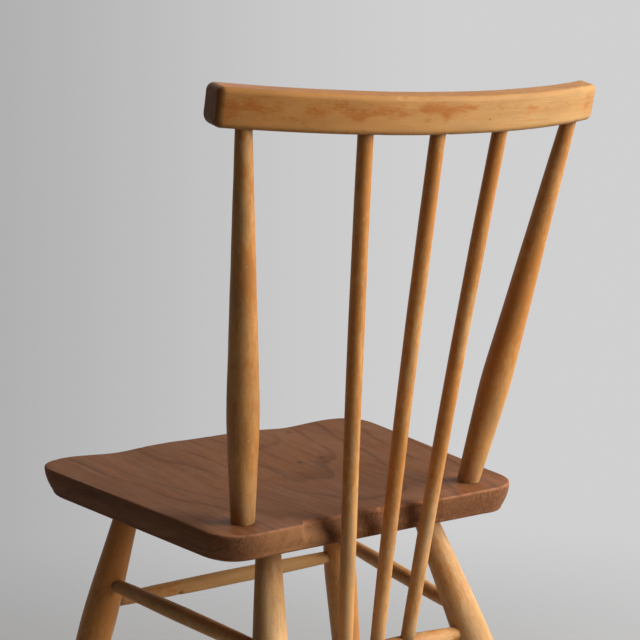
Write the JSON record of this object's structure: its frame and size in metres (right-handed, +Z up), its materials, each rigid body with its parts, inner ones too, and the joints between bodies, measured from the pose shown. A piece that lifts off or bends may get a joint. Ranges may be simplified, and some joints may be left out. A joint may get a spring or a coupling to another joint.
{
  "type": "stick-back side chair",
  "caption": "Wooden side chair with a saddled plank seat on splayed turned legs, and a back of turned posts and thin spindles under a bent crest rail.",
  "frame": {"origin": "on the floor, in the middle of the chair's outline", "axes": "+Z up, -Y towards the front of the chair, +X to the sitter's left"},
  "size_m": [0.4158, 0.4386, 0.7758],
  "materials": {
    "elm": "dark satin varnish, worn and dirty",
    "beech": "amber varnish, thin and flecked",
    "worn_beech": "pale bare wood with ragged patches of amber varnish"
  },
  "bodies": {
    "root": {"seat": "elm", "leg_front_left": "beech", "leg_front_right": "beech", "leg_rear_left": "beech", "leg_rear_right": "beech", "stretcher_front": "worn_beech", "stretcher_rear": "beech", "stretcher_left": "beech", "stretcher_right": "beech", "post_left": "beech", "post_right": "beech", "spindle_left": "beech", "spindle_centre": "beech", "spindle_right": "beech", "crest_rail": "worn_beech"}
  },
  "joints": []
}
